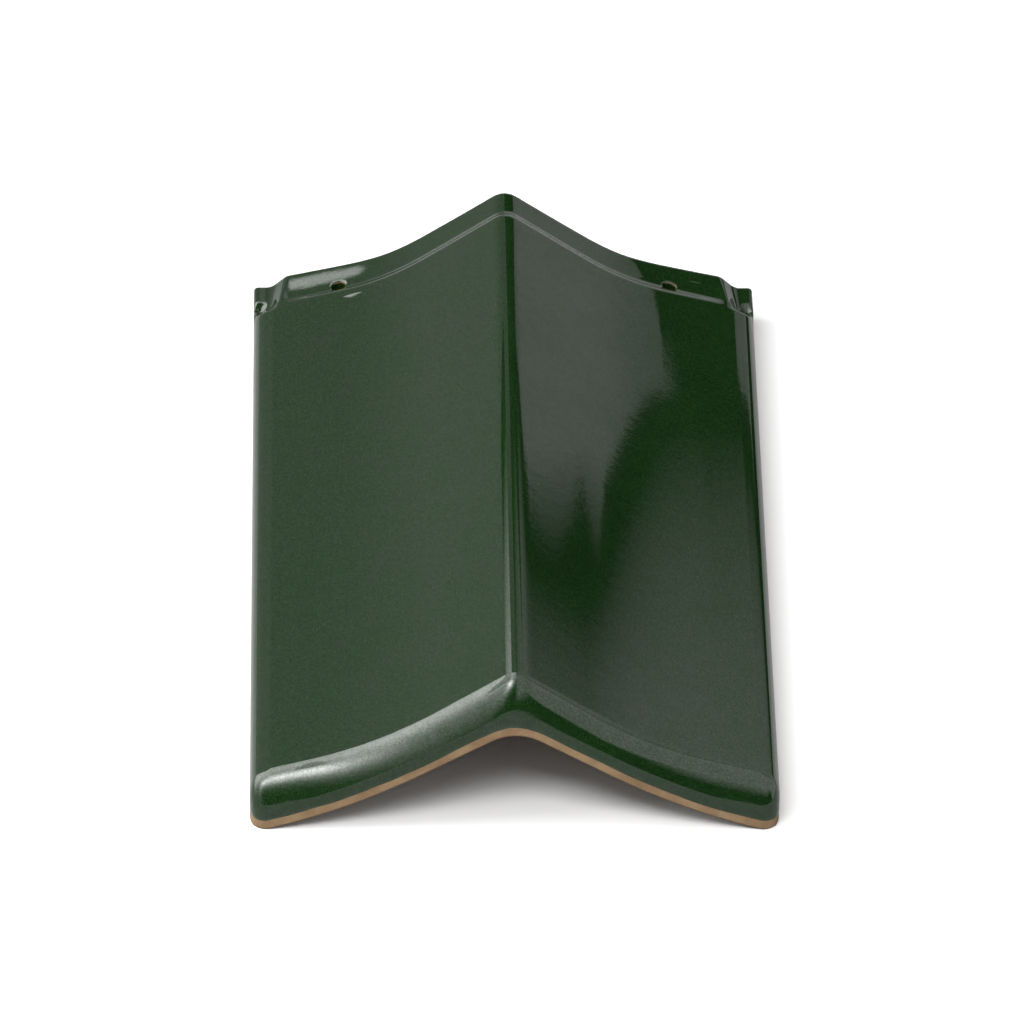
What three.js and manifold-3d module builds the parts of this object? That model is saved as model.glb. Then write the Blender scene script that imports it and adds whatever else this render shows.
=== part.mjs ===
// An angular hip end tile: one moulded clay piece, glazed on top.
// Millimetres, +Z up. The foot of the tile, with its rolled lip, faces -Y and the nailing lap faces +Y.
// The origin is under the middle of the tile, on the plane that its two side rims rest on.

import Module from "manifold-3d";
import * as THREE from "three";
import { mergeVertices } from "three/addons/utils/BufferGeometryUtils.js";

// overall sizes
const LENGTH = 400;
const WIDTH = 245;
const RIDGE_HEIGHT = 83;
const WALL = 12;

// cross-section of the glazed face at the two ends: slopes are rise over run, places are from the ridge
const HEAD_SECTION = { top: RIDGE_HEIGHT, crown: 6, steep: 0.73, bendFrom: 40, bendTo: 76, shallow: 0.31 };
const FOOT_SECTION = { top: RIDGE_HEIGHT, crown: 6, steep: 0.69, bendFrom: 34, bendTo: 94, shallow: 0.3 };
// lower edge of the lip across the foot
const LIP_EDGE = { top: 55, crown: 12, steep: 0.615, bendFrom: 42, bendTo: 112, shallow: 0.3 };

// rolled rims: the face folds over to an upright face, with a crease above it at the front
const FRONT_FOLD = 12;
const FRONT_FOLD_TURN = 0.85;
const SIDE_FOLD = 9.5;
const SIDE_FOLD_CHAMFER = 0.15;
const SIDE_FOLD_POWER = 6;
const CORNER_POWER = 2.8;
const UPRIGHT_FACE = 12.3;
const RIM_THICKNESS = 12;
const RIM_DRAFT = 2;

// nailing lap, sunk below the face down a soft ramp so that the next tile lies over it
const LAP_LENGTH = 23;
const LAP_RAMP_AT_RIDGE = 13;
const LAP_RAMP_AT_END = 6.5;
const LAP_DEPTH_AT_RIDGE = 5.3;
const LAP_DEPTH_AT_END = 1.2;
const LAP_FADE_FROM = 104;
const LAP_FADE_TO = 109.5;
const HEAD_EDGE_ROUND = 3;

// the lap's two outer parts rise a little towards the head
const LAP_RISE = 0.55;
const LAP_RISE_FROM = 56;
const LAP_RISE_FULL = 72;

// narrow side ledges beside the lap: the shoulder falls to them earlier at the head than at the rim
const SHOULDER_FROM_AT_HEAD = 104.5;
const SHOULDER_FROM_AT_RIM = 109.5;
const LEDGE_FROM = 116.3;
const LEDGE_HEIGHT = 20.6;
const LEDGE_EDGE_ROUND = 2.4;
const FULL_RIM_FROM_HEAD = 29;

// pit in each ledge, at the foot of the full rim
const PIT_DROP = 2.2;
const PIT_FROM_RIDGE = 119.4;
const PIT_HALF_WIDTH = 3;
const PIT_FROM_HEAD = 20;
const PIT_RAMP_FROM_HEAD = 14;

// nail holes
const NAIL_HOLE_DIAMETER = 7;
const NAIL_HOLE_FROM_RIDGE = 81;
const NAIL_HOLE_FROM_HEAD = 18;
const NAIL_HOLE_SIDES = 16;

// facets
const CROWN_STEPS = 3;
const WING_STEPS = 10;
const SIDE_FOLD_STEPS = 9;
const FRONT_FOLD_STEPS = 7;
const BODY_STEPS = 7;
const RAMP_STEPS = 6;
const LEDGE_STEPS = 3;
const HEAD_EDGE_STEPS = 3;

const halfWidth = WIDTH / 2;
const footY = -LENGTH / 2;
const headY = LENGTH / 2;
const sideFoldFrom = halfWidth - SIDE_FOLD;
const rimInnerFoot = halfWidth - RIM_THICKNESS;
const rimInnerTop = rimInnerFoot - RIM_DRAFT;
const lipInnerFoot = footY + RIM_THICKNESS;
const lipInnerTop = lipInnerFoot + RIM_DRAFT;
const lapStart = headY - LAP_LENGTH;

function clamp01(value) {
  return Math.min(1, Math.max(0, value));
}

function smooth(from, to, value) {
  const part = clamp01((value - from) / (to - from));
  return part * part * (3 - 2 * part);
}

// Slope of a section: it grows over the rounded crown, runs straight, then eases to the flatter wing.
function slopeAt(section, across) {
  const out = Math.abs(across);
  const crown = clamp01(out / section.crown);
  const bend = clamp01((out - section.bendFrom) / (section.bendTo - section.bendFrom));
  return section.steep * crown + (section.shallow - section.steep) * bend;
}

// Fall of a section from the ridge: the slope above, summed outwards.
function fallAt(section, across) {
  const out = Math.abs(across);
  const crown = Math.min(out, section.crown);
  const crownFall = section.steep * (crown * crown) / (2 * section.crown) + section.steep * (out - crown);
  const bendLength = section.bendTo - section.bendFrom;
  const bend = Math.min(Math.max(out - section.bendFrom, 0), bendLength);
  const past = Math.max(out - section.bendTo, 0);
  return crownFall - (section.steep - section.shallow) * (bend * bend / (2 * bendLength) + past);
}

function sectionHeight(section, across) {
  return section.top - fallAt(section, across);
}

// Share of the foot's section at a place along the tile, the rest being the head's.
function footShare(y) {
  return clamp01((headY - y) / LENGTH);
}

function faceHeight(x, y) {
  const share = footShare(y);
  return share * sectionHeight(FOOT_SECTION, x) + (1 - share) * sectionHeight(HEAD_SECTION, x);
}

function faceSlope(x, y) {
  const share = footShare(y);
  return share * slopeAt(FOOT_SECTION, x) + (1 - share) * slopeAt(HEAD_SECTION, x);
}

function lipEdgeHeight(x) {
  return Math.max(0, sectionHeight(LIP_EDGE, x));
}

// How far round the front fold a place is: 0 on the face, 1 where the upright face begins.
function frontFoldPart(y) {
  return clamp01((footY + FRONT_FOLD - y) / FRONT_FOLD);
}

function sideFoldPart(x) {
  return clamp01((Math.abs(x) - sideFoldFrom) / SIDE_FOLD);
}

// Length of a corner offset, measured so that equal lengths make a rounded square.
function roundedLength(side, front) {
  return Math.pow(Math.pow(side, CORNER_POWER) + Math.pow(front, CORNER_POWER), 1 / CORNER_POWER);
}

// Draws a place in the square corner of the plan in to the rounded corner.
function roundedPlan(x, y) {
  const side = sideFoldPart(x);
  const front = frontFoldPart(y);
  if (side === 0 || front === 0) {
    return [x, y];
  }
  const scale = Math.max(side, front) / roundedLength(side, front);
  const roundedX = Math.sign(x) * (sideFoldFrom + SIDE_FOLD * side * scale);
  return [roundedX, footY + FRONT_FOLD - FRONT_FOLD * front * scale];
}

// Share of a fold's height that it has lost at a place: the front one is part of a quarter ellipse.
function frontFoldFall(part) {
  const turn = FRONT_FOLD_TURN * part;
  return (1 - Math.sqrt(1 - turn * turn)) / (1 - Math.sqrt(1 - FRONT_FOLD_TURN * FRONT_FOLD_TURN));
}

// The side one falls like a chamfer, then rounds over quickly near the side.
function sideFoldFall(part) {
  const round = 1 - Math.sqrt(Math.max(0, 1 - Math.pow(part, SIDE_FOLD_POWER)));
  return SIDE_FOLD_CHAMFER * part + (1 - SIDE_FOLD_CHAMFER) * round;
}

function foldedHeight(x, y) {
  const side = sideFoldPart(x);
  const front = frontFoldPart(y);
  const around = Math.min(1, roundedLength(side, front));
  const sideShare = around > 0 ? Math.pow(side / around, CORNER_POWER) : 0;
  const fall = sideShare * sideFoldFall(around) + (1 - sideShare) * frontFoldFall(around);
  const face = faceHeight(x, y);
  return face + (lipEdgeHeight(x) + UPRIGHT_FACE - face) * fall;
}

// A measure of the lap that eases from its value at the ridge to its value at the outer end.
function alongLap(x, atRidge, atEnd) {
  return atEnd + (atRidge - atEnd) * Math.cos((Math.PI / 2) * clamp01(Math.abs(x) / LAP_FADE_FROM));
}

// How far the lap lies below the face.
function lapSink(x, y) {
  const out = Math.abs(x);
  const halfRamp = alongLap(x, LAP_RAMP_AT_RIDGE, LAP_RAMP_AT_END) / 2;
  const inside = 1 - smooth(LAP_FADE_FROM, LAP_FADE_TO, out);
  const depth = alongLap(x, LAP_DEPTH_AT_RIDGE, LAP_DEPTH_AT_END) * inside;
  const sunk = depth * smooth(lapStart - halfRamp, lapStart + halfRamp, y);
  const rise = LAP_RISE * inside * smooth(LAP_RISE_FROM, LAP_RISE_FULL, out);
  return sunk - rise * smooth(lapStart + halfRamp, headY, y);
}

// How far a quarter round of one size has fallen when a place is past its start.
function roundedFall(size, past) {
  const part = clamp01(past / size);
  return size * (1 - Math.sqrt(1 - part * part));
}

// Side ledge: a level floor with a small pit at its front end.
function ledgeHeight(x, y) {
  const offPit = (Math.abs(x) - PIT_FROM_RIDGE) / PIT_HALF_WIDTH;
  const alongPit = smooth(PIT_RAMP_FROM_HEAD, PIT_FROM_HEAD, headY - y);
  const pit = PIT_DROP * Math.max(0, 1 - offPit * offPit) * alongPit;
  return LEDGE_HEIGHT - pit - roundedFall(LEDGE_EDGE_ROUND, Math.abs(x) - (halfWidth - LEDGE_EDGE_ROUND));
}

// Share of the ledge in the height of a place beside the lap: 0 on the lap, 1 on the ledge.
function ledgeShare(x, y) {
  const towardsHead = clamp01((y - lapStart) / LAP_LENGTH);
  const from = SHOULDER_FROM_AT_RIM + (SHOULDER_FROM_AT_HEAD - SHOULDER_FROM_AT_RIM) * towardsHead;
  return smooth(from, LEDGE_FROM, Math.abs(x));
}

function glazedHeight(x, y) {
  const sunk = lapSink(x, y);
  const rim = foldedHeight(x, y) - sunk;
  const lap = faceHeight(x, y) - sunk;
  const ledge = lap + (ledgeHeight(x, y) - lap) * ledgeShare(x, y);
  const pastRim = smooth(headY - FULL_RIM_FROM_HEAD, headY - PIT_FROM_HEAD, y);
  return rim + (ledge - rim) * pastRim - roundedFall(HEAD_EDGE_ROUND, y - (headY - HEAD_EDGE_ROUND));
}

// Underside: the hollow follows the face at the wall's thickness, and the rims stand below it.
function undersideHeight(x, y) {
  if (y <= lipInnerFoot) {
    return lipEdgeHeight(x);
  }
  if (Math.abs(x) >= rimInnerFoot) {
    return 0;
  }
  const slope = faceSlope(x, y);
  return faceHeight(x, y) - WALL * Math.sqrt(1 + slope * slope);
}

// Places across half of the tile, from the ridge out to the side.
function stationsAcross() {
  const places = [];
  for (let i = 0; i < CROWN_STEPS; i += 1) {
    places.push((FOOT_SECTION.crown * i) / CROWN_STEPS);
  }
  for (let i = 0; i <= WING_STEPS; i += 1) {
    places.push(FOOT_SECTION.crown + ((LAP_FADE_FROM - FOOT_SECTION.crown) * i) / WING_STEPS);
  }
  places.push(rimInnerTop - RIM_DRAFT, rimInnerTop, rimInnerFoot);
  for (let i = 0; i <= SIDE_FOLD_STEPS; i += 1) {
    places.push(sideFoldFrom + SIDE_FOLD * Math.sin((Math.PI / 2) * (i / SIDE_FOLD_STEPS)));
  }
  return places;
}

// Places along the tile, from the foot to the head.
function stationsAlong() {
  const places = [];
  for (let i = FRONT_FOLD_STEPS; i > 0; i -= 1) {
    const angle = Math.asin(FRONT_FOLD_TURN) * (i / FRONT_FOLD_STEPS);
    places.push(footY + FRONT_FOLD * (1 - Math.sin(angle) / FRONT_FOLD_TURN));
  }
  places.push(lipInnerFoot);
  const bodyFrom = lipInnerTop;
  const bodyTo = lapStart - LAP_RAMP_AT_RIDGE / 2;
  const rampTo = lapStart + LAP_RAMP_AT_RIDGE / 2;
  for (let i = 0; i <= BODY_STEPS; i += 1) {
    places.push(bodyFrom + ((bodyTo - bodyFrom) * i) / BODY_STEPS);
  }
  for (let i = 1; i <= RAMP_STEPS; i += 1) {
    places.push(bodyTo + (LAP_RAMP_AT_RIDGE * i) / RAMP_STEPS);
  }
  for (let i = 1; i < LEDGE_STEPS; i += 1) {
    places.push(rampTo + ((headY - HEAD_EDGE_ROUND - rampTo) * i) / LEDGE_STEPS);
  }
  for (let i = 0; i <= HEAD_EDGE_STEPS; i += 1) {
    places.push(headY - HEAD_EDGE_ROUND * (1 - Math.sin((Math.PI / 2) * (i / HEAD_EDGE_STEPS))));
  }
  return places;
}

// Two sheets of points over the same plan, joined round their edges into one closed solid.
function tileGeometry() {
  const half = stationsAcross();
  const across = [...half.slice(1).reverse().map((x) => -x), ...half];
  const along = stationsAlong();
  const positions = [];
  const addSheet = (heightAt) => {
    for (const row of along) {
      for (const column of across) {
        const [x, y] = roundedPlan(column, row);
        positions.push(x, y, heightAt(x, y));
      }
    }
  };
  addSheet(glazedHeight);
  addSheet(undersideHeight);

  const columns = across.length;
  const rows = along.length;
  const sheet = columns * rows;
  const indices = [];
  const addQuad = (a, b, c, d) => indices.push(a, b, c, a, c, d);
  for (let row = 0; row < rows - 1; row += 1) {
    for (let column = 0; column < columns - 1; column += 1) {
      const near = row * columns + column;
      const far = near + columns;
      addQuad(near, near + 1, far + 1, far);
      addQuad(sheet + near, sheet + far, sheet + far + 1, sheet + near + 1);
    }
  }
  const addWall = (from, to) => addQuad(from, sheet + from, sheet + to, to);
  const lastRow = (rows - 1) * columns;
  for (let column = 0; column < columns - 1; column += 1) {
    addWall(column, column + 1);
    addWall(lastRow + column + 1, lastRow + column);
  }
  for (let row = 0; row < rows - 1; row += 1) {
    const left = row * columns;
    const right = left + columns - 1;
    addWall(left + columns, left);
    addWall(right, right + columns);
  }

  const geometry = new THREE.BufferGeometry();
  geometry.setAttribute("position", new THREE.Float32BufferAttribute(positions, 3));
  geometry.setIndex(indices);
  return geometry;
}

function toManifold(wasm, geometry) {
  const plain = geometry.clone();
  plain.deleteAttribute("normal");
  plain.deleteAttribute("uv");
  const merged = mergeVertices(plain);
  return new wasm.Manifold(new wasm.Mesh({
    numProp: 3,
    vertProperties: new Float32Array(merged.attributes.position.array),
    triVerts: new Uint32Array(merged.index.array),
  }));
}

function fromManifold(solid) {
  const mesh = solid.getMesh();
  const geometry = new THREE.BufferGeometry();
  geometry.setAttribute("position", new THREE.Float32BufferAttribute(mesh.vertProperties, 3));
  geometry.setIndex(new THREE.Uint32BufferAttribute(mesh.triVerts, 1));
  geometry.computeVertexNormals();
  return geometry;
}

function nailHoleCutter(side) {
  const radius = NAIL_HOLE_DIAMETER / 2;
  const cutter = new THREE.CylinderGeometry(radius, radius, RIDGE_HEIGHT, NAIL_HOLE_SIDES);
  cutter.rotateX(Math.PI / 2);
  cutter.translate(side * NAIL_HOLE_FROM_RIDGE, headY - NAIL_HOLE_FROM_HEAD, RIDGE_HEIGHT / 2);
  return cutter;
}

const wasm = await Module();
wasm.setup();

let body = toManifold(wasm, tileGeometry());
for (const side of [-1, 1]) {
  body = body.subtract(toManifold(wasm, nailHoleCutter(side)));
}

const glaze = new THREE.MeshStandardMaterial({ color: 0x23401f, roughness: 0.12, metalness: 0 });
const tile = new THREE.Mesh(fromManifold(body), glaze);
tile.name = "hip_end_tile";

const model = new THREE.Group();
model.add(tile);

export default model;
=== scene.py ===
import math

import bpy
from mathutils import Matrix, Vector, noise


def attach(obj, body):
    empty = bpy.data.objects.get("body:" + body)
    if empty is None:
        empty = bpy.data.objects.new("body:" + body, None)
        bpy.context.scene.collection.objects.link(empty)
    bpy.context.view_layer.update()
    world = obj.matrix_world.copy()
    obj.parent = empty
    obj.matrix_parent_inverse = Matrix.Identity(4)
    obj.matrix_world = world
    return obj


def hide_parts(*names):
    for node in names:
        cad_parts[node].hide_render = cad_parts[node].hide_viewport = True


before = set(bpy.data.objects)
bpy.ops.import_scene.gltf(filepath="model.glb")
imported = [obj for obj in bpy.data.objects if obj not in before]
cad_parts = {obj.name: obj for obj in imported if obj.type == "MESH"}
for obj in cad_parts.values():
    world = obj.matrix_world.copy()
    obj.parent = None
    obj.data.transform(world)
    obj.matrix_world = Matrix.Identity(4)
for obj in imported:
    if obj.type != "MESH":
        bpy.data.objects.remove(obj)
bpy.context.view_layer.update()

mm = 0.001

# the tile's sizes in millimetres, as in the solid that it stands for
tileShape = {
    "length": 400, "width": 245, "wall": 12,
    "headSection": {"top": 83, "crown": 6, "steep": 0.73, "bendFrom": 40, "bendTo": 76, "shallow": 0.31},
    "footSection": {"top": 83, "crown": 6, "steep": 0.69, "bendFrom": 34, "bendTo": 94, "shallow": 0.30},
    "lipEdge": {"top": 55, "crown": 12, "steep": 0.615, "bendFrom": 42, "bendTo": 112, "shallow": 0.30},
    "frontFold": 12, "frontFoldTurn": 0.85, "sideFold": 9.5, "sideFoldChamfer": 0.15, "sideFoldPower": 6,
    "cornerPower": 2.8, "uprightFace": 12.3,
    "rimThickness": 12, "rimFillet": 5,
    "lapLength": 23, "lapRampAtRidge": 13, "lapRampAtEnd": 6.5, "lapDepthAtRidge": 5.3, "lapDepthAtEnd": 1.2,
    "lapFadeFrom": 104, "lapFadeTo": 109.5, "headEdgeRound": 3,
    "lapRise": 0.55, "lapRiseFrom": 56, "lapRiseFull": 72,
    "shoulderFromAtHead": 104.5, "shoulderFromAtRim": 109.5, "ledgeFrom": 116.3,
    "ledgeHeight": 20.6, "ledgeEdgeRound": 2.4, "fullRimFromHead": 29,
    "pitDrop": 2.2, "pitFromRidge": 119.4, "pitHalfWidth": 3, "pitFromHead": 20, "pitRampFromHead": 14,
    "holeRadius": 3.5, "holeFromRidge": 81, "holeFromHead": 18,
}

# how finely the blank is cut, and the small faults of a pressed and fired tile, with lengths in millimetres
tileFinish = {
    "crownSteps": 7, "wingStep": 2.1, "holeStep": 0.7, "shoulderStep": 0.5, "foldSteps": 14,
    "creaseCut": 6, "creaseStep": 1.2, "bodyStep": 4, "lapStep": 0.6, "finelyCut": 14.4,
    "headEdgeSteps": 6, "boreCuts": 6, "uprightShares": (1, 0.62, 0.41, 0.37, 0.34, 0.31, 0.22, 0.1, 0),
    "holeRing": 4, "holeBlock": 9, "holeRingsShort": 0.9, "holeLipDip": 0.3, "holeLip": 0.8,
    "lowerEdgeRound": 1.1, "smoothUpTo": 42, "uncreasedFold": 0.7,
    "waveSize": 62, "waveRateAlong": 0.7, "waveHeight": 0.05, "wavesFadeAtFold": 0.3,
    "dimpleSize": 17, "dimpleHeight": 0.008,
    "bareStrip": 4.2, "bareStripWander": 0.5, "bareStripWanderSize": 11,
    "glazeThickness": 0.4, "glazeEdge": (-0.3, 0.4),
    "bareBoreSide": (0.45, 0.89), "bareBoreShare": 0.35, "boreEnd": 0.1,
    "wingEaseFrom": 80, "wingEaseCurve": 0.0007,
    "glazeBeads": ({"place": (-74, 169.2), "half": (8, 2.7), "height": 0.16},
                   {"place": (94, 190.5), "half": (8, 2), "height": 0.12}),
}

# how far inside the edge of the glaze each part is taken to lie, in millimetres: bare clay is below 0,
# and the underside as far below it as the face is above, where the material also paints shade on its clay
glazeReach = {"face": 6.0, "lowestEdge": -3.0, "bore": 0.6}

# which slice of the noise each fault is taken from
noiseSlice = {"wave": 3.0, "dimple": 41.0, "strip": 7.0}


def clamp(value):
    return min(1.0, max(0.0, value))


def smooth(start, end, value):
    part = clamp((value - start) / (end - start))
    return part * part * (3 - 2 * part)


def roundedFall(size, past):
    part = clamp(past / size)
    return size * (1 - math.sqrt(1 - part * part))


def selectNothing():
    bpy.ops.object.select_all(action="DESELECT")


# the tile's form, as heights over its plan
def slopeAt(section, across):
    out = abs(across)
    bend = clamp((out - section["bendFrom"]) / (section["bendTo"] - section["bendFrom"]))
    return section["steep"] * clamp(out / section["crown"]) + (section["shallow"] - section["steep"]) * bend


def sectionHeight(section, across):
    out = abs(across)
    crown = min(out, section["crown"])
    fall = section["steep"] * (crown * crown / (2 * section["crown"]) + out - crown)
    bendLength = section["bendTo"] - section["bendFrom"]
    bend = min(max(out - section["bendFrom"], 0), bendLength)
    past = max(out - section["bendTo"], 0)
    fall -= (section["steep"] - section["shallow"]) * (bend * bend / (2 * bendLength) + past)
    return section["top"] - fall


def footShare(y):
    return clamp((tileShape["length"] / 2 - y) / tileShape["length"])


def faceHeight(x, y):
    share = footShare(y)
    foot = sectionHeight(tileShape["footSection"], x)
    head = sectionHeight(tileShape["headSection"], x)
    return share * foot + (1 - share) * head


def faceSlope(x, y):
    share = footShare(y)
    return share * slopeAt(tileShape["footSection"], x) + (1 - share) * slopeAt(tileShape["headSection"], x)


def lipEdgeHeight(x):
    return max(0, sectionHeight(tileShape["lipEdge"], x))


def foldParts(x, y):
    # how far round the side fold, the front fold and the two together a place is
    side = clamp((abs(x) - (tileShape["width"] / 2 - tileShape["sideFold"])) / tileShape["sideFold"])
    front = clamp((tileShape["frontFold"] - tileShape["length"] / 2 - y) / tileShape["frontFold"])
    power = tileShape["cornerPower"]
    return side, front, min(1.0, (side ** power + front ** power) ** (1 / power))


def foldFall(x, y):
    # share of a fold's height lost at a place: the front one is part of a quarter ellipse
    side, front, around = foldParts(x, y)
    if around == 0:
        return 0.0
    sideShare = min(1.0, (side / around) ** tileShape["cornerPower"])
    turn, power = tileShape["frontFoldTurn"], tileShape["sideFoldPower"]
    frontFall = (1 - math.sqrt(1 - (turn * around) ** 2)) / (1 - math.sqrt(1 - turn * turn))
    sideRound = 1 - math.sqrt(max(0.0, 1 - around ** power))
    chamfer = tileShape["sideFoldChamfer"]
    return sideShare * (chamfer * around + (1 - chamfer) * sideRound) + (1 - sideShare) * frontFall


def lapArch(x, atRidge, atEnd):
    return atEnd + (atRidge - atEnd) * math.cos(math.pi / 2 * clamp(abs(x) / tileShape["lapFadeFrom"]))


def lapSink(x, y):
    # how far the nailing lap lies below the face, down a ramp that is long and soft at the ridge
    halfRamp = lapArch(x, tileShape["lapRampAtRidge"], tileShape["lapRampAtEnd"]) / 2
    inside = 1 - smooth(tileShape["lapFadeFrom"], tileShape["lapFadeTo"], abs(x))
    depth = lapArch(x, tileShape["lapDepthAtRidge"], tileShape["lapDepthAtEnd"]) * inside
    lapStart = tileShape["length"] / 2 - tileShape["lapLength"]
    sunk = depth * smooth(lapStart - halfRamp, lapStart + halfRamp, y)
    rise = tileShape["lapRise"] * inside * smooth(tileShape["lapRiseFrom"], tileShape["lapRiseFull"], abs(x))
    return sunk - rise * smooth(lapStart + halfRamp, tileShape["length"] / 2, y)


def ledgeHeight(x, y):
    fromHead = tileShape["length"] / 2 - y
    offPit = (abs(x) - tileShape["pitFromRidge"]) / tileShape["pitHalfWidth"]
    pit = tileShape["pitDrop"] * max(0.0, 1 - offPit * offPit)
    pit *= smooth(tileShape["pitRampFromHead"], tileShape["pitFromHead"], fromHead)
    edge = tileShape["width"] / 2 - tileShape["ledgeEdgeRound"]
    return tileShape["ledgeHeight"] - pit - roundedFall(tileShape["ledgeEdgeRound"], abs(x) - edge)


def ledgeShare(x, y):
    lapStart = tileShape["length"] / 2 - tileShape["lapLength"]
    towardsHead = clamp((y - lapStart) / tileShape["lapLength"])
    atRim, atHead = tileShape["shoulderFromAtRim"], tileShape["shoulderFromAtHead"]
    return smooth(atRim + (atHead - atRim) * towardsHead, tileShape["ledgeFrom"], abs(x))


def wingEase(x):
    # the outer part of each wing keeps flattening a little
    past = max(0.0, abs(x) - tileFinish["wingEaseFrom"])
    return tileFinish["wingEaseCurve"] * past * past / 2


def glazedHeight(x, y):
    headY = tileShape["length"] / 2
    sunk = lapSink(x, y)
    face = faceHeight(x, y) + wingEase(x)
    upright = lipEdgeHeight(x) + tileShape["uprightFace"]
    rim = face + (upright - face) * foldFall(x, y) - sunk
    lap = face - sunk
    ledge = lap + (ledgeHeight(x, y) - lap) * ledgeShare(x, y)
    pastRim = smooth(headY - tileShape["fullRimFromHead"], headY - tileShape["pitFromHead"], y)
    height = rim + (ledge - rim) * pastRim
    return height - roundedFall(tileShape["headEdgeRound"], y - (headY - tileShape["headEdgeRound"]))


def undersideHeight(x, y):
    slope = faceSlope(x, y)
    hollow = faceHeight(x, y) - tileShape["wall"] * math.sqrt(1 + slope * slope)
    rimInner = tileShape["width"] / 2 - tileShape["rimThickness"]
    lipInner = tileShape["rimThickness"] - tileShape["length"] / 2
    fillet = tileShape["rimFillet"]
    atRim = hollow * (1 - smooth(rimInner - fillet, rimInner, abs(x)))
    lip = lipEdgeHeight(x)
    return lip + (atRim - lip) * smooth(lipInner, lipInner + fillet, y) + lowerEdgeRise(x, y)


def lowerEdgeRise(x, y):
    # the worn round of the lower edge, all round the tile
    edge = tileFinish["lowerEdgeRound"]
    folded = (foldParts(x, y)[2] - 1) * tileShape["sideFold"] + edge
    head = y - tileShape["length"] / 2 + edge
    part = min(1.0, math.hypot(max(0.0, folded), max(0.0, head)) / edge)
    return edge * (1 - math.sqrt(1 - part * part))


# where the blank's lines lie
def evenly(start, end, step):
    count = max(1, round((end - start) / step))
    return [start + (end - start) * k / count for k in range(count)]


def stationsAcross():
    hole = tileShape["holeFromRidge"]
    block = tileFinish["holeBlock"] * tileFinish["holeStep"]
    foldFrom = tileShape["width"] / 2 - tileShape["sideFold"]
    crown = tileShape["footSection"]["crown"]
    half = evenly(0, crown, crown / tileFinish["crownSteps"])
    half += evenly(crown, hole - block, tileFinish["wingStep"])
    half += evenly(hole - block, hole + block, tileFinish["holeStep"])
    half += evenly(hole + block, tileShape["lapFadeFrom"], tileFinish["wingStep"])
    half += evenly(tileShape["lapFadeFrom"], foldFrom, tileFinish["shoulderStep"])
    steps = tileFinish["foldSteps"]
    half += [foldFrom + tileShape["sideFold"] * math.sin(math.pi / 2 * k / steps) for k in range(steps + 1)]
    return [-x for x in reversed(half[1:])] + half


def stationsAlong():
    footY, headY = -tileShape["length"] / 2, tileShape["length"] / 2
    hole = headY - tileShape["holeFromHead"]
    fold, steps = tileShape["frontFold"], tileFinish["foldSteps"]
    fine = hole - tileFinish["finelyCut"]
    edge = headY - tileShape["headEdgeRound"]
    turn = tileShape["frontFoldTurn"]
    creaseEnd = footY + fold + tileFinish["creaseCut"]
    rows = [footY + fold * (1 - math.sin(math.asin(turn) * k / steps) / turn) for k in range(steps, 0, -1)]
    rows += evenly(footY + fold, creaseEnd, tileFinish["creaseStep"])
    rows += evenly(creaseEnd, fine, tileFinish["bodyStep"])
    rows += evenly(fine, hole, tileFinish["lapStep"])
    rows += evenly(hole, edge, tileFinish["lapStep"])
    steps = tileFinish["headEdgeSteps"]
    rows += [edge + tileShape["headEdgeRound"] * math.sin(math.pi / 2 * k / steps) for k in range(steps + 1)]
    return rows


def roundCorner(x, y):
    # spreads the lines of the front corners over the rounded plan
    foldFrom = tileShape["width"] / 2 - tileShape["sideFold"]
    frontFrom = tileShape["frontFold"] - tileShape["length"] / 2
    side = max(0.0, abs(x) - foldFrom) / tileShape["sideFold"]
    front = max(0.0, frontFrom - y) / tileShape["frontFold"]
    if side == 0 or front == 0:
        return x, y
    power = tileShape["cornerPower"]
    scale = max(side, front) / (side ** power + front ** power) ** (1 / power)
    x = math.copysign(foldFrom + side * scale * tileShape["sideFold"], x)
    return x, frontFrom - front * scale * tileShape["frontFold"]


def holeRings():
    # radius of each ring of the blank round a nail hole, the last one staying square
    ring, block = tileFinish["holeRing"], tileFinish["holeBlock"]
    last = (block - tileFinish["holeRingsShort"]) * tileFinish["holeStep"]
    grow = (last - tileShape["holeRadius"]) / (block - 1 - ring)
    return {ring + k: tileShape["holeRadius"] + grow * k for k in range(block - ring)}


def makeBlank(columns, rows):
    selectNothing()
    across, along = len(columns) - 1, len(rows) - 1
    bpy.ops.mesh.primitive_grid_add(x_subdivisions=across, y_subdivisions=along, size=2)
    blank = bpy.context.object
    blank.name = blank.data.name = "glazedTile"
    bpy.ops.object.mode_set(mode="EDIT")
    bpy.ops.mesh.select_all(action="SELECT")
    bpy.ops.mesh.extrude_region_move(TRANSFORM_OT_translate={"value": (0, 0, -1)})
    bpy.ops.object.mode_set(mode="OBJECT")
    return blank


def gridPlace(co, columns, rows):
    return round((co.x + 1) / 2 * (len(columns) - 1)), round((co.y + 1) / 2 * (len(rows) - 1))


def selectOnly(blank, kind, wanted):
    mesh = blank.data
    for group in (mesh.polygons, mesh.edges, mesh.vertices):
        group.foreach_set("select", [False] * len(group))
    for item in wanted:
        item.select = True
    # set before edit mode begins, so that no edge is added between the points of two others
    bpy.context.tool_settings.mesh_select_mode = tuple(kind == mode for mode in ("VERT", "EDGE", "FACE"))
    bpy.ops.object.mode_set(mode="EDIT")


def cutUprights(blank):
    # the blank is one unit deep until it is shaped
    verts = blank.data.vertices
    upright = [e for e in blank.data.edges
               if abs(verts[e.vertices[0]].co.z - verts[e.vertices[1]].co.z) > 0.5]
    selectOnly(blank, "EDGE", upright)
    bpy.ops.mesh.subdivide(number_cuts=len(tileFinish["uprightShares"]) - 2)
    bpy.ops.object.mode_set(mode="OBJECT")


def nearestLine(lines, place):
    return min(range(len(lines)), key=lambda k: abs(lines[k] - place))


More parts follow.
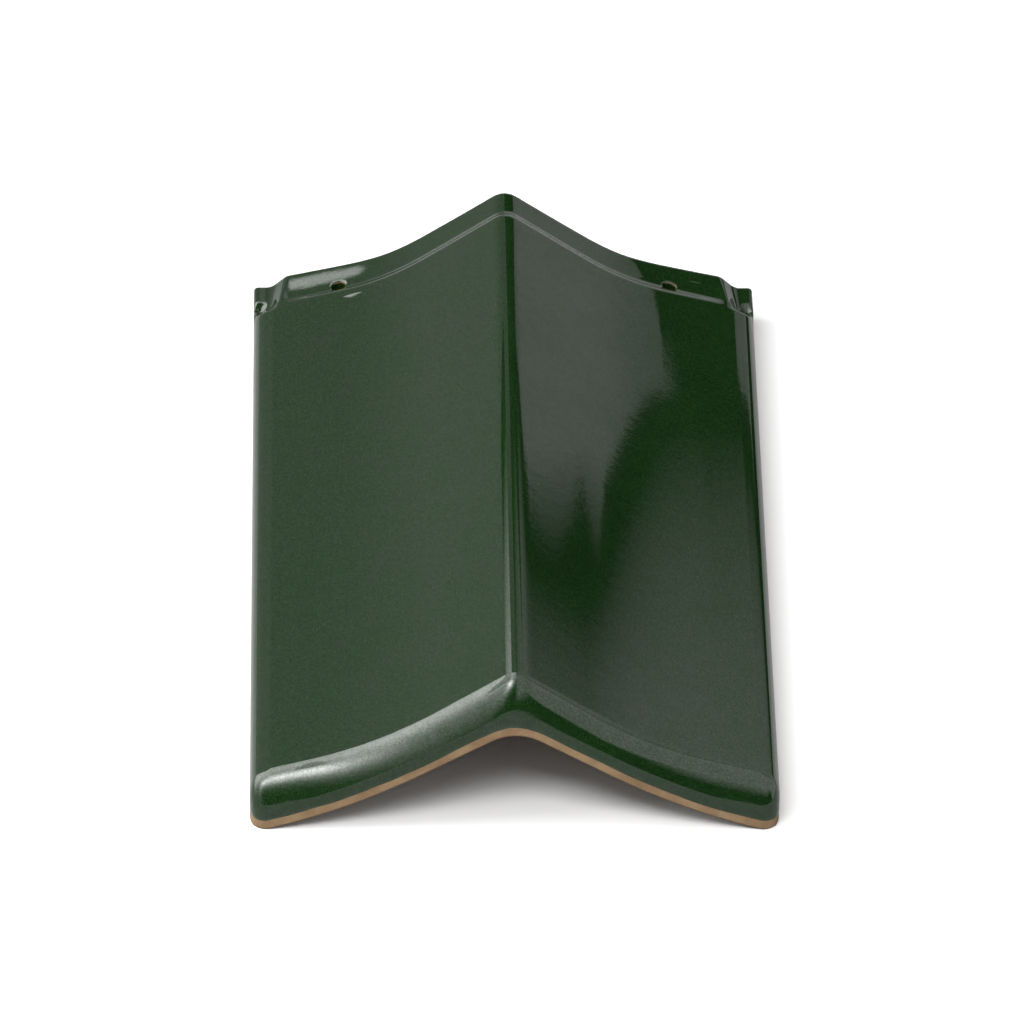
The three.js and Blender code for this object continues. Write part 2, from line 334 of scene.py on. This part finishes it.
def holeCentres(columns, rows):
    row = nearestLine(rows, tileShape["length"] / 2 - tileShape["holeFromHead"])
    return [(nearestLine(columns, side * tileShape["holeFromRidge"]), row) for side in (-1, 1)]


def ringOf(place, centre):
    return max(abs(place[0] - centre[0]), abs(place[1] - centre[1]))


def pierce(blank, centre, columns, rows):
    ring = tileFinish["holeRing"]
    inside = [v for v in blank.data.vertices if ringOf(gridPlace(v.co, columns, rows), centre) < ring]
    selectOnly(blank, "VERT", inside)
    bpy.ops.mesh.delete(type="VERT")
    bpy.ops.object.mode_set(mode="OBJECT")
    verts = blank.data.vertices
    rim = [e for e in blank.data.edges
           if all(ringOf(gridPlace(verts[v].co, columns, rows), centre) == ring for v in e.vertices)]
    selectOnly(blank, "EDGE", rim)
    bpy.ops.mesh.bridge_edge_loops(number_cuts=tileFinish["boreCuts"])
    bpy.ops.object.mode_set(mode="OBJECT")


def planPlace(place, columns, rows, centres, rings):
    x, y = roundCorner(columns[place[0]], rows[place[1]])
    for centre in centres:
        ring = ringOf(place, centre)
        if ring in rings:
            away = Vector((place[0] - centre[0], place[1] - centre[1]))
            spot = Vector((columns[centre[0]], rows[centre[1]])) + away.normalized() * rings[ring]
            return spot.x, spot.y
    return x, y


def fromHole(x, y):
    # how far a place lies from the middle of the nail hole on its own side
    return (x - math.copysign(tileShape["holeFromRidge"], x),
            y - tileShape["length"] / 2 + tileShape["holeFromHead"])


def holeDip(x, y):
    # the glaze rolls into each nail hole
    past = clamp((math.hypot(*fromHole(x, y)) - tileShape["holeRadius"]) / tileFinish["holeLip"])
    return tileFinish["holeLipDip"] * (1 - past) ** 2 if past < 1 else 0.0


def noiseAt(x, y, fault, size):
    return noise.noise(Vector((x, y, noiseSlice[fault])) / size)


def unevenness(x, y):
    # long waves of a pressed tile and the shallow dimples of its glaze
    alongWaves = y * tileFinish["waveRateAlong"]
    wave = noiseAt(x, alongWaves, "wave", tileFinish["waveSize"]) * tileFinish["waveHeight"]
    dimple = noiseAt(x, y, "dimple", tileFinish["dimpleSize"]) * tileFinish["dimpleHeight"]
    return wave + dimple - tileFinish["waveHeight"] - tileFinish["dimpleHeight"]


def beadHeight(x, y):
    # beads of thicker glaze near the nail holes
    height = 0.0
    for bead in tileFinish["glazeBeads"]:
        across, along = bead["place"]
        off = math.hypot((x - across) / bead["half"][0], (y - along) / bead["half"][1])
        height += bead["height"] * (1 - smooth(0, 1, off))
    return height


def stripHeight(x, y):
    # height of the bare strip that the glaze leaves along the lower edge
    wander = noiseAt(x, y, "strip", tileFinish["bareStripWanderSize"])
    return tileFinish["bareStrip"] + tileFinish["bareStripWander"] * wander


def drawnIn(x, y, depth):
    # moves a place on the outer upright faces in towards the tile
    side, front, around = foldParts(x, y)
    headY = tileShape["length"] / 2
    if y >= headY:
        return x, y - depth
    if around == 0:
        return x, y
    frontShare = (front / around) ** tileShape["cornerPower"]
    return x - math.copysign(depth * (1 - frontShare), x), y + depth * frontShare


def boreGlaze(x, y, level):
    # bare clay shows round the mouth of a nail hole on its far right, and at its lower end
    end, away = tileFinish["boreEnd"], Vector(fromHole(x, y)).normalized()
    bare = level < end and away.dot(Vector(tileFinish["bareBoreSide"])) > tileFinish["bareBoreShare"]
    return -glazeReach["bore"] if bare or level > 1 - end else glazeReach["bore"]


def shapeBlank(blank, columns, rows):
    centres, rings = holeCentres(columns, rows), holeRings()
    mesh = blank.data
    reach = mesh.attributes.new("glazeReach", "FLOAT", "POINT")
    lastColumn, lastRow = len(columns) - 1, len(rows) - 1
    shares = tileFinish["uprightShares"]
    crease = {}
    for vert in mesh.vertices:
        place, level = gridPlace(vert.co, columns, rows), -vert.co.z
        x, y = planPlace(place, columns, rows, centres, rings)
        onSide = place[0] in (0, lastColumn) or place[1] in (0, lastRow)
        onBore = any(ringOf(place, centre) == tileFinish["holeRing"] for centre in centres)
        top = glazedHeight(x, y) - holeDip(x, y)
        bottom = undersideHeight(x, y)
        if onSide:
            height = (top - bottom) * shares[round(level * (len(shares) - 1))]
            inside = (height - stripHeight(x, y)) if level < 1 else glazeReach["lowestEdge"]
            missing = 1 - smooth(*tileFinish["glazeEdge"], inside)
            x, y = drawnIn(x, y, tileFinish["glazeThickness"] * missing)
            z = bottom + height
        else:
            uneven = smooth(0, tileFinish["wavesFadeAtFold"], 1 - foldParts(x, y)[2])
            top += unevenness(x, y) * uneven + beadHeight(x, y)
            z = top + (bottom - top) * level
            # the underside lies far below the glaze's edge, where the material paints shade on its clay
            inside = glazeReach["face"] * (1 - 2 * level)
        if onBore:
            inside = boreGlaze(x, y, level)
        crease[vert.index] = level == 0 and place[1] == 0
        reach.data[vert.index].value = inside * mm
        vert.co = (x * mm, y * mm, z * mm)
    creaseEnd = (tileShape["width"] / 2 - tileShape["sideFold"] * tileFinish["uncreasedFold"]) * mm
    return [e.index for e in mesh.edges
            if all(crease[v] and abs(mesh.vertices[v].co.x) < creaseEnd for v in e.vertices)]


def smoothTile(tile, crease):
    bpy.ops.object.mode_set(mode="EDIT")
    bpy.ops.mesh.select_all(action="SELECT")
    bpy.ops.mesh.normals_make_consistent(inside=False)
    bpy.ops.object.mode_set(mode="OBJECT")
    bpy.ops.object.shade_smooth_by_angle(angle=math.radians(tileFinish["smoothUpTo"]))
    for index in crease:
        tile.data.edges[index].use_edge_sharp = True


def makeTile():
    columns, rows = stationsAcross(), stationsAlong()
    tile = makeBlank(columns, rows)
    cutUprights(tile)
    for centre in holeCentres(columns, rows):
        pierce(tile, centre, columns, rows)
    smoothTile(tile, shapeBlank(tile, columns, rows))
    print("tile made:", len(tile.data.vertices), "points")
    return tile


# the finish, with lengths in millimetres
glazeLook = {
    "green": (0.0044, 0.0185, 0.0042), "deepGreen": (0.0030, 0.0140, 0.0032),
    "thinGreen": (0.026, 0.050, 0.016),
    "cloudSize": 30, "blotchSize": 7, "mottleRange": (0.75, 1.25),
    "speckleSize": 0.9, "speckleRange": (0.42, 0.66), "speckleShare": 0.34,
    "shine": (0.38, 0.62), "shineRange": (0.3, 0.7), "shineMottle": 0.15, "roughness": 0.05,
    "rippleSize": 1.7, "rippleHeight": 0.0055, "swellSize": 6.5, "swellHeight": 0.013, "edgeBlur": 0.15,
}
clayLook = {
    "light": (0.228, 0.153, 0.084), "dark": (0.158, 0.099, 0.051), "toneRange": (0.8, 1.2), "cloudSize": 11,
    # painted shade: the clay of the underside is darkened to half of its dark tone, from 3.5 to 5 mm past
    # the glaze's edge
    "paintedUnderShade": 0.5, "paintedUnderShadeFrom": 3.5, "paintedUnderShadeFull": 5,
    "grainSize": 0.5, "grainHeight": 0.08, "roughness": 0.86, "shine": 0.3,
}


def addNode(tree, kind, place, **settings):
    node = tree.nodes.new(kind)
    node.location = place
    for name, value in settings.items():
        setattr(node, name, value)
    return node


def addNoise(tree, coords, size, detail, place, roughness=0.5):
    # size is the pattern's size on the tile, in millimetres
    node = addNode(tree, "ShaderNodeTexNoise", place)
    node.inputs["Scale"].default_value = 1 / (size * mm)
    node.inputs["Detail"].default_value = detail
    node.inputs["Roughness"].default_value = roughness
    tree.links.new(coords, node.inputs["Vector"])
    return node.outputs["Fac"]


def addRange(tree, value, low, high, place, toLow=0.0, toHigh=1.0):
    node = addNode(tree, "ShaderNodeMapRange", place, clamp=True)
    for name, number in (("From Min", low), ("From Max", high), ("To Min", toLow), ("To Max", toHigh)):
        node.inputs[name].default_value = number
    tree.links.new(value, node.inputs["Value"])
    return node.outputs["Result"]


def feed(tree, socket, value):
    # gives a node's input a number, a colour or the output of another node
    if isinstance(value, bpy.types.NodeSocket):
        tree.links.new(value, socket)
    elif isinstance(value, tuple):
        socket.default_value = (*value, 1)
    else:
        socket.default_value = value


def addMaths(tree, operation, first, second, place):
    node = addNode(tree, "ShaderNodeMath", place, operation=operation)
    for socket, value in zip(node.inputs, (first, second)):
        feed(tree, socket, value)
    return node.outputs["Value"]


def addMix(tree, factor, first, second, place, kind="FLOAT"):
    node = addNode(tree, "ShaderNodeMix", place, data_type=kind)
    for name, value in (("Factor", factor), ("A", first), ("B", second)):
        feed(tree, node.inputs[name], value)
    return node.outputs["Result"]


def addColourMix(tree, factor, first, second, place):
    return addMix(tree, factor, first, second, place, "RGBA")


def makeGlazedClay():
    material = bpy.data.materials.new("glazedClay")
    material.use_nodes = True
    tree = material.node_tree
    shader = tree.nodes["Principled BSDF"]
    coords = addNode(tree, "ShaderNodeTexCoord", (-1800, 0)).outputs["Object"]
    reach = addNode(tree, "ShaderNodeAttribute", (-1800, 300), attribute_name="glazeReach").outputs["Fac"]
    blur = glazeLook["edgeBlur"] * mm
    glazed = addRange(tree, reach, -blur, blur, (-1500, 300))

    clouds = addNoise(tree, coords, glazeLook["cloudSize"], 3, (-1500, 0))
    blotches = addNoise(tree, coords, glazeLook["blotchSize"], 4, (-1500, 150), roughness=0.65)
    mottle = addMaths(tree, "ADD", clouds, blotches, (-1400, 0))
    speckle = addNoise(tree, coords, glazeLook["speckleSize"], 2, (-1500, -200), roughness=0.6)
    deep = addRange(tree, mottle, *glazeLook["mottleRange"], (-1300, 0))
    green = addColourMix(tree, deep, glazeLook["green"], glazeLook["deepGreen"], (-1100, 0))
    thin = addRange(tree, speckle, *glazeLook["speckleRange"], (-1300, -200),
                    toHigh=glazeLook["speckleShare"])
    green = addColourMix(tree, thin, green, glazeLook["thinGreen"], (-900, 0))

    grain = addNoise(tree, coords, clayLook["grainSize"], 4, (-1500, -450), roughness=0.7)
    cloud = addNoise(tree, coords, clayLook["cloudSize"], 3, (-1500, -650))
    tone = addMaths(tree, "ADD", grain, cloud, (-1300, -450))
    tone = addRange(tree, tone, *clayLook["toneRange"], (-1100, -450))
    clay = addColourMix(tree, tone, clayLook["dark"], clayLook["light"], (-900, -450))
    # painted shade on the underside: its clay is darkened where the glaze reach lies far below the glaze's
    # edge
    shaded = tuple(clayLook["paintedUnderShade"] * part for part in clayLook["dark"])
    paintedUnderShade = addRange(tree, reach, -clayLook["paintedUnderShadeFrom"] * mm, -clayLook["paintedUnderShadeFull"] * mm,
                          (-1100, -600))
    clay = addColourMix(tree, paintedUnderShade, clay, shaded, (-700, -450))

    tree.links.new(addColourMix(tree, glazed, clay, green, (-500, 0)), shader.inputs["Base Color"])
    rough = addMix(tree, glazed, clayLook["roughness"], glazeLook["roughness"], (-500, -200))
    tree.links.new(rough, shader.inputs["Roughness"])
    mottled = addRange(tree, mottle, *glazeLook["mottleRange"], (-1300, 100),
                       -glazeLook["shineMottle"], glazeLook["shineMottle"])
    shine = addMaths(tree, "ADD", speckle, mottled, (-1100, 100))
    shine = addRange(tree, shine, *glazeLook["shineRange"], (-900, 100), *glazeLook["shine"])
    shine = addMix(tree, glazed, clayLook["shine"], shine, (-500, 100))
    tree.links.new(shine, shader.inputs["Specular IOR Level"])

    ripple = addMaths(tree, "MULTIPLY", addNoise(tree, coords, glazeLook["rippleSize"], 2, (-1500, -900)),
                      glazeLook["rippleHeight"], (-1300, -900))
    swell = addMaths(tree, "MULTIPLY", addNoise(tree, coords, glazeLook["swellSize"], 1, (-1500, -1100)),
                     glazeLook["swellHeight"], (-1300, -1100))
    glazeHeight = addMaths(tree, "ADD", ripple, swell, (-1100, -900))
    clayHeight = addMaths(tree, "MULTIPLY", grain, clayLook["grainHeight"], (-1100, -1100))
    bump = addNode(tree, "ShaderNodeBump", (-500, -900))
    bump.inputs["Distance"].default_value = mm
    tree.links.new(addMix(tree, glazed, clayHeight, glazeHeight, (-800, -900)), bump.inputs["Height"])
    tree.links.new(bump.outputs["Normal"], shader.inputs["Normal"])
    print("material made: glazed clay")
    return material


# the stage
# painted shade: glossy rays see the floor in a darker grey than its white, standing in for the shade on the
# floor near the tile
floorLook = {"size": 9.0, "white": 0.95, "mirrored": 0.42, "roughness": 0.9, "shine": 0.05}
# light seen by the camera, and light falling on matt surfaces from the horizon and from above
skyLook = {"background": 1.0, "horizon": 0.10, "zenith": 0.9, "zenithFrom": 0.9}
# what the glaze mirrors, by direction: a wide panel and a lamp on the left, both cut off behind,
# and on the right an even wall with a dark wedge in front
mirrorLook = {
    "left": (0.335, 0.465), "leftRange": (-0.25, -0.6),
    "frontDark": (-0.85, -0.6), "frontDarkSide": (-0.3, -0.42),
    "panel": {"light": 7.0, "towards": (-0.66, 0.35, 0.66), "focus": 3.5},
    "lamp": {"light": 16.0, "towards": (-0.43, -0.38), "spread": (0.16, 0.27)},
    "cutBehind": (0.774, 0.763), "right": 1.5, "rightFrom": (-0.05, 0.1),
    "wedge": {"back": (-0.70, -0.64), "lean": 0.45, "top": (0.1, 0.38)},
}
keyLooks = {
    "leftKey": {"power": 58.0, "size": (1.2, 1.7), "place": (-1.75, -0.15, 1.65)},
    "frontKey": {"power": 34.0, "size": (1.3, 0.7), "place": (-0.35, -1.28, 1.95)},
}
# two panels on the wall behind the tile on the right, in metres, which only reflections show
wallLook = {
    "distance": 1.0, "across": (-0.02, 2.6), "upward": (0.001, 2.2), "softEdge": 0.003,
    "lowerPanel": {"left": 0.487, "leftFade": (0.016, 0.004), "top": 0.572, "fall": 0.98, "shelf": 0.322,
                   "light": 0.6, "fadeFrom": 0.3, "fade": 0.3, "fadeTo": 0.7,
                   "toe": (0.752, 0.268), "toeRise": 0.86, "toeFade": (0.815, 0.735),
                   "foot": 0.42, "footFade": 0.01, "side": (0.487, 0.525), "sideLean": 1.1},
    "upperPanel": {"corner": (0.665, 0.468), "fall": 0.79, "light": 0.87, "fade": 0.15,
                   "edge": (0.521, 0.611), "edgeSoft": 0.004, "lean": 0.6, "over": (0.76, 0.79)},
}
# a lamp low over the left wing, in metres, which only reflections show
stripLook = {
    "across": (-0.185, -0.062), "along": (-0.2, 0.27), "height": 0.2,
    "light": 3.0, "rise": (0.19, -0.04),
}


def makeFloor():
    selectNothing()
    bpy.ops.mesh.primitive_plane_add(size=floorLook["size"], location=(0, 0, 0))
    floor = bpy.context.object
    floor.name = "floor"
    paint = bpy.data.materials.new("floorWhite")
    paint.use_nodes = True
    tree = paint.node_tree
    shader = tree.nodes["Principled BSDF"]
    # painted shade in reflections: the floor's white drops to the darker grey for glossy rays
    path = addNode(tree, "ShaderNodeLightPath", (-700, 0))
    white = addColourMix(tree, path.outputs["Is Glossy Ray"], (floorLook["white"],) * 3,
                         (floorLook["mirrored"],) * 3, (-400, 0))
    tree.links.new(white, shader.inputs["Base Color"])
    shader.inputs["Roughness"].default_value = floorLook["roughness"]
    shader.inputs["Specular IOR Level"].default_value = floorLook["shine"]
    floor.data.materials.append(paint)


def addSquaredOffset(tree, value, middle, spread, place):
    # the square of how many spreads a value lies off its middle
    off = addMaths(tree, "DIVIDE", addMaths(tree, "SUBTRACT", value, middle, place), spread, place)
    return addMaths(tree, "MULTIPLY", off, off, place)


def addPanelAndLamp(tree, direction, toRight, toBack):
    # the wide panel and the lamp on the left, both cut off behind
    panel, lamp = mirrorLook["panel"], mirrorLook["lamp"]
    facing = addNode(tree, "ShaderNodeVectorMath", (-1100, -900), operation="DOT_PRODUCT")
    facing.inputs[1].default_value = panel["towards"]
    tree.links.new(direction, facing.inputs[0])
    panelPart = addMaths(tree, "MAXIMUM", facing.outputs["Value"], 0.0, (-900, -900))
    panelPart = addMaths(tree, "POWER", panelPart, panel["focus"], (-800, -900))
    panelPart = addMaths(tree, "MULTIPLY", panelPart, panel["light"], (-700, -900))
    offRight = addSquaredOffset(tree, toRight, lamp["towards"][0], lamp["spread"][0], (-1100, -1100))
    offBack = addSquaredOffset(tree, toBack, lamp["towards"][1], lamp["spread"][1], (-1100, -1200))
    off = addMaths(tree, "ADD", offRight, offBack, (-900, -1100))
    lampPart = addMaths(tree, "MULTIPLY", off, -1.0, (-800, -1100))
    lampPart = addMaths(tree, "POWER", math.e, lampPart, (-750, -1100))
    lampPart = addMaths(tree, "MULTIPLY", lampPart, lamp["light"], (-700, -1100))
    bright = addMaths(tree, "ADD", panelPart, lampPart, (-600, -1000))
    kept = addRange(tree, toBack, *mirrorLook["cutBehind"], (-700, -800))
    return addMaths(tree, "MULTIPLY", bright, kept, (-500, -900))


def addMirroredLight(tree, direction, toRight, toBack, toTop):
    bright = addPanelAndLamp(tree, direction, toRight, toBack)
    even = addRange(tree, toRight, *mirrorLook["leftRange"], (-1100, -300), *mirrorLook["left"])
    offFront = addRange(tree, toBack, *mirrorLook["frontDark"], (-1100, -400))
    offSide = addRange(tree, toRight, *mirrorLook["frontDarkSide"], (-1100, -500))
    lit = addMaths(tree, "MAXIMUM", offFront, offSide, (-900, -400))
    left = addMaths(tree, "MULTIPLY", even, lit, (-700, -300))
    left = addMaths(tree, "ADD", left, bright, (-400, -400))

    wedge = mirrorLook["wedge"]
    lean = addMaths(tree, "MULTIPLY", toRight, wedge["lean"], (-1100, -600))
    steep = addMaths(tree, "SUBTRACT", toTop, lean, (-1000, -600))
    behindWedge = addRange(tree, toBack, *wedge["back"], (-900, -550))
    overWedge = addRange(tree, steep, *wedge["top"], (-900, -650))
    right = addMaths(tree, "MAXIMUM", behindWedge, overWedge, (-700, -600))
    right = addMaths(tree, "MULTIPLY", right, mirrorLook["right"], (-600, -600))
    onRight = addRange(tree, toRight, *mirrorLook["rightFrom"], (-500, -700))
    return addMix(tree, onRight, left, right, (-300, -500))


def makeSky():
    world = bpy.data.worlds.new("studio")
    world.use_nodes = True
    tree = world.node_tree
    background = tree.nodes["Background"]
    path = addNode(tree, "ShaderNodeLightPath", (-900, 300))
    direction = addNode(tree, "ShaderNodeTexCoord", (-1500, 0)).outputs["Generated"]
    axes = addNode(tree, "ShaderNodeSeparateXYZ", (-1300, 0))
    tree.links.new(direction, axes.inputs["Vector"])
    toRight, toBack, toTop = axes.outputs
    matt = addRange(tree, toTop, 0.0, skyLook["zenithFrom"], (-900, -100),
                    skyLook["horizon"], skyLook["zenith"])
    mirrored = addMirroredLight(tree, direction, toRight, toBack, toTop)
    shown = addMix(tree, path.outputs["Is Glossy Ray"], matt, mirrored, (-200, 0))
    shown = addMix(tree, path.outputs["Is Camera Ray"], shown, skyLook["background"], (-100, 0))
    background.inputs["Color"].default_value = (1, 1, 1, 1)
    tree.links.new(shown, background.inputs["Strength"])
    bpy.context.scene.world = world
    print("sky made")


def makeKeys():
    for name, look in keyLooks.items():
        bpy.ops.object.light_add(type="AREA", location=look["place"])
        key = bpy.context.object
        key.name = name
        key.data.energy = look["power"]
        key.data.shape = "RECTANGLE"
        key.data.size, key.data.size_y = look["size"]
        key.rotation_euler = Vector(look["place"]).to_track_quat("Z", "Y").to_euler()
        key.visible_glossy = False
    print("keys made:", len(keyLooks))


def makeReflected(name, corners, paint):
    # a card or panel that only reflections show
    selectNothing()
    bpy.ops.mesh.primitive_plane_add(size=2)
    card = bpy.context.object
    card.name = card.data.name = name
    for vert, corner in zip(card.data.vertices, corners):
        vert.co = corner
    card.data.materials.append(paint)
    card.visible_camera = card.visible_diffuse = card.visible_transmission = card.visible_shadow = False


def makeGlow(name):
    # an emission material whose strength the caller works out from the panel's own coordinates
    glow = bpy.data.materials.new(name)
    glow.use_nodes = True
    tree = glow.node_tree
    tree.nodes.remove(tree.nodes["Principled BSDF"])
    lamp = addNode(tree, "ShaderNodeEmission", (0, 0))
    tree.links.new(lamp.outputs["Emission"], tree.nodes["Material Output"].inputs["Surface"])
    coords = addNode(tree, "ShaderNodeTexCoord", (-1500, 0)).outputs["Object"]
    axes = addNode(tree, "ShaderNodeSeparateXYZ", (-1300, 0))
    tree.links.new(coords, axes.inputs["Vector"])
    return glow, tree, lamp, axes.outputs


def addPlaneDistance(tree, axes, point, towards, place):
    # distance of the panel's points from a line through point, square to towards, in the upright x-z plane
    normal = Vector(towards).normalized()
    parts = []
    for axis, start, share in zip((axes[0], axes[2]), point, normal):
        off = addMaths(tree, "SUBTRACT", axis, start, place)
        parts.append(addMaths(tree, "MULTIPLY", off, share, place))
    return addMaths(tree, "ADD", *parts, place)


def addLowerPanel(tree, axes):
    # the light of the lower panel: under a falling top edge or a shelf, over a rising toe
    look, soft = wallLook["lowerPanel"], wallLook["softEdge"]
    overTop = addPlaneDistance(tree, axes, (look["left"], look["top"]), (look["fall"], 1), (-1000, 200))
    underTop = addRange(tree, overTop, soft, -soft, (-800, 200))
    underShelf = addRange(tree, axes[2], look["shelf"] + soft, look["shelf"], (-800, 100))
    pastToe = addPlaneDistance(tree, axes, look["toe"], (-look["toeRise"], 1), (-1000, 50))
    overToe = addRange(tree, pastToe, -soft, soft, (-800, 50))
    inside = addMaths(tree, "MAXIMUM", underTop, underShelf, (-700, 200))
    inside = addMaths(tree, "MULTIPLY", inside, overToe, (-600, 200))
    beforeEnd = addRange(tree, axes[0], *look["toeFade"], (-700, 300))
    inside = addMaths(tree, "MULTIPLY", inside, beforeEnd, (-500, 300))

    # its left side: open below the foot's height, upright above it, then leaning to the right
    leftFrom, leftFull = (look["left"] - fade for fade in look["leftFade"])
    leftEdge = addRange(tree, axes[0], leftFrom, leftFull, (-800, 0))
    pastSide = addPlaneDistance(tree, axes, look["side"], (1, -look["sideLean"]), (-1000, 0))
    besideLean = addRange(tree, pastSide, -soft, soft, (-800, -20))
    leftEdge = addMaths(tree, "MULTIPLY", leftEdge, besideLean, (-750, 0))
    nearFoot = addRange(tree, axes[2], look["foot"] + look["footFade"], look["foot"], (-800, -50))
    leftEdge = addMaths(tree, "MAXIMUM", leftEdge, nearFoot, (-700, 0))
    inside = addMaths(tree, "MULTIPLY", inside, leftEdge, (-500, 200))
    light = addRange(tree, axes[2], look["fadeFrom"], look["fadeFrom"] + look["fade"], (-800, -100),
                     look["light"], look["light"] * look["fadeTo"])
    return addMaths(tree, "MULTIPLY", light, inside, (-400, 200))


def addUpperPanel(tree, axes):
    # the light of the upper panel, which grows upward from a falling lower edge
    look = wallLook["upperPanel"]
    overEdge = addPlaneDistance(tree, axes, look["corner"], (look["fall"], 1), (-1000, -400))
    decay = addMaths(tree, "DIVIDE", overEdge, -look["fade"], (-800, -400))
    decay = addMaths(tree, "POWER", math.e, decay, (-700, -400))
    growth = addMaths(tree, "SUBTRACT", 1.0, decay, (-600, -400))
    growth = addMaths(tree, "MAXIMUM", growth, 0.0, (-500, -400))
    pastEdge = addPlaneDistance(tree, axes, look["edge"], (1, -look["lean"]), (-1000, -700))
    inside = addRange(tree, pastEdge, -look["edgeSoft"], look["edgeSoft"], (-800, -700))
    highUp = addRange(tree, axes[2], *look["over"], (-800, -800))
    inside = addMaths(tree, "MAXIMUM", inside, highUp, (-600, -700))
    light = addMaths(tree, "MULTIPLY", growth, inside, (-400, -400))
    return addMaths(tree, "MULTIPLY", light, look["light"], (-300, -400))


def makeWall():
    # two panels behind the tile on the right, with a dark gap between them that rises to the left
    glow, tree, lamp, axes = makeGlow("wallGlow")
    light = addMaths(tree, "ADD", addLowerPanel(tree, axes), addUpperPanel(tree, axes), (-200, 0))
    tree.links.new(light, lamp.inputs["Strength"])
    corners = [(x, wallLook["distance"], z) for z in wallLook["upward"] for x in wallLook["across"]]
    makeReflected("rightWall", corners, glow)


def makeRidgeStrip():
    # a long narrow lamp low over the left wing, for the crown of the ridge to mirror
    glow, tree, lamp, axes = makeGlow("stripGlow")
    light = addRange(tree, axes[1], *stripLook["rise"], (-800, 0), 0.0, stripLook["light"])
    tree.links.new(light, lamp.inputs["Strength"])
    corners = [(x, y, stripLook["height"]) for y in stripLook["along"] for x in stripLook["across"]]
    makeReflected("ridgeStrip", corners, glow)


def makeStage():
    makeFloor()
    makeSky()
    makeKeys()
    makeWall()
    makeRidgeStrip()
    print("stage made")


# the camera, with angles in degrees, lengths in metres and the lens in millimetres
cameraView = {"azimuth": -1.39, "elevation": 37.27, "roll": 0.90, "distance": 4.917,
              "aim": (0.0012, -0.00305, 0.035), "lens": 363.8, "clipEnd": 50}


def makeCamera():
    azimuth, elevation = math.radians(cameraView["azimuth"]), math.radians(cameraView["elevation"])
    back = Vector((math.sin(azimuth) * math.cos(elevation),
                   -math.cos(azimuth) * math.cos(elevation), math.sin(elevation)))
    right = Vector((math.cos(azimuth), math.sin(azimuth), 0))
    turn = Matrix.Rotation(math.radians(cameraView["roll"]), 3, back)
    right = turn @ right
    up = back.cross(right)
    camera = bpy.data.objects.new("camera", bpy.data.cameras.new("camera"))
    bpy.context.scene.collection.objects.link(camera)
    place = Vector(cameraView["aim"]) + back * cameraView["distance"]
    camera.matrix_world = Matrix.Translation(place) @ Matrix((right, up, back)).transposed().to_4x4()
    camera.data.lens = cameraView["lens"]
    camera.data.clip_end = cameraView["clipEnd"]
    bpy.context.scene.camera = camera
    print("camera made")


makeCamera()
tile = makeTile()
tile.data.materials.append(makeGlazedClay())
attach(tile, "root")
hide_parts("hip_end_tile")
makeStage()
bpy.context.scene.view_settings.view_transform = "Standard"
